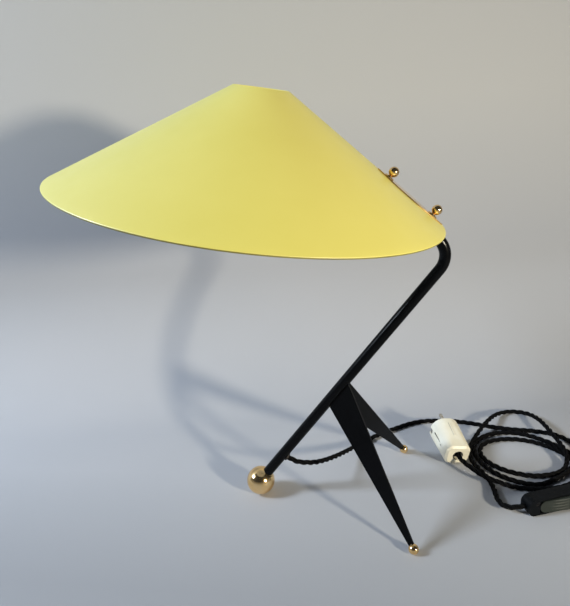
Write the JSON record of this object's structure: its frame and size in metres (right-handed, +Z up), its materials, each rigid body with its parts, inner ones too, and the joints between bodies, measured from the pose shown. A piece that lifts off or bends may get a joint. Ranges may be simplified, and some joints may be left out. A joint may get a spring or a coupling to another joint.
{
  "type": "tripod table lamp",
  "caption": "Table lamp with a bent tube stem on ball feet, sheet legs, a wide tilted cone shade, an in-line switch, and a coiled twisted cord with its plug.",
  "frame": {"origin": "on the floor, under the middle of the lamp's own outline, cord left out", "axes": "+Z up; +X from the big foot ball towards the bend of the stem; the lamp is alike on both sides of Y = 0"},
  "size_m": [0.5962, 0.4021, 0.4732],
  "materials": {
    "black_enamel": "satin black enamel",
    "polished_brass": "polished",
    "shade_enamel": "satin pale yellow enamel outside, white inside",
    "socket_brass": "satin",
    "holder_shell": "satin",
    "porcelain": "glazed",
    "lamp_cap_metal": "satin",
    "frosted_glass": "frosted",
    "black_rubber": "matt",
    "cord_textile": "black twisted textile",
    "switch_plastic": "satin black",
    "rocker_plastic": "grey green",
    "steel": "plain",
    "plug_plastic": "ivory",
    "nickel": "nickel plated"
  },
  "bodies": {
    "lamp": {"stem_tube": "black_enamel", "big_foot_ball": "polished_brass", "stem_stud": "steel", "front_leg": "black_enamel", "back_leg": "black_enamel", "front_foot_ball": "polished_brass", "back_foot_ball": "polished_brass", "shade": "shade_enamel", "clamp_plate": "polished_brass", "lower_washer": "polished_brass", "upper_washer": "polished_brass", "lower_post": "black_enamel", "upper_post": "black_enamel", "holder_nipple": "socket_brass", "holder_cap": "holder_shell", "holder_body": "holder_shell", "holder_insert": "porcelain", "thread_sleeve": "socket_brass", "centre_contact": "socket_brass", "terminal_screws": "socket_brass", "cord_bush": "black_rubber", "inner_flex": "cord_textile", "cord_lead": "cord_textile", "cord_link": "cord_textile", "cord_coil": "cord_textile", "cord_tail": "cord_textile", "switch_base": "switch_plastic", "switch_cover": "switch_plastic", "rocker_pin": "steel", "switch_screws": "steel", "switch_contacts": "socket_brass", "plug_cover": "plug_plastic", "plug_carrier": "plug_plastic", "plug_pins": "nickel", "earth_strips": "nickel", "plug_screw": "steel", "cord_grip": "black_rubber"},
    "upper_knob": {"upper_knob": "polished_brass"},
    "lower_knob": {"lower_knob": "polished_brass"},
    "bulb": {"bulb_cap": "lamp_cap_metal", "bulb_glass": "frosted_glass"},
    "rocker": {"switch_rocker": "rocker_plastic"}
  },
  "joints": [
    {"name": "upper_knob_turn", "type": "hinge", "parent": "lamp", "child": "upper_knob", "pos_m": [0.13719, 0, 0.37649], "axis": [0.6775, 0, 0.7355], "range_deg": [0, 360]},
    {"name": "lower_knob_turn", "type": "hinge", "parent": "lamp", "child": "lower_knob", "pos_m": [0.17941, 0, 0.3376], "axis": [0.6775, 0, 0.7355], "range_deg": [0, 360]},
    {"name": "bulb_turn", "type": "hinge", "parent": "lamp", "child": "bulb", "pos_m": [0.10147, 0, 0.38106], "axis": [-0.9829, 0, 0.184], "range_deg": [0, 360]},
    {"name": "switch_rock", "type": "hinge", "parent": "lamp", "child": "rocker", "pos_m": [0.32555, -0.0116, 0.01005], "axis": [0, 0, 1], "range_deg": [0, 10]}
  ]
}
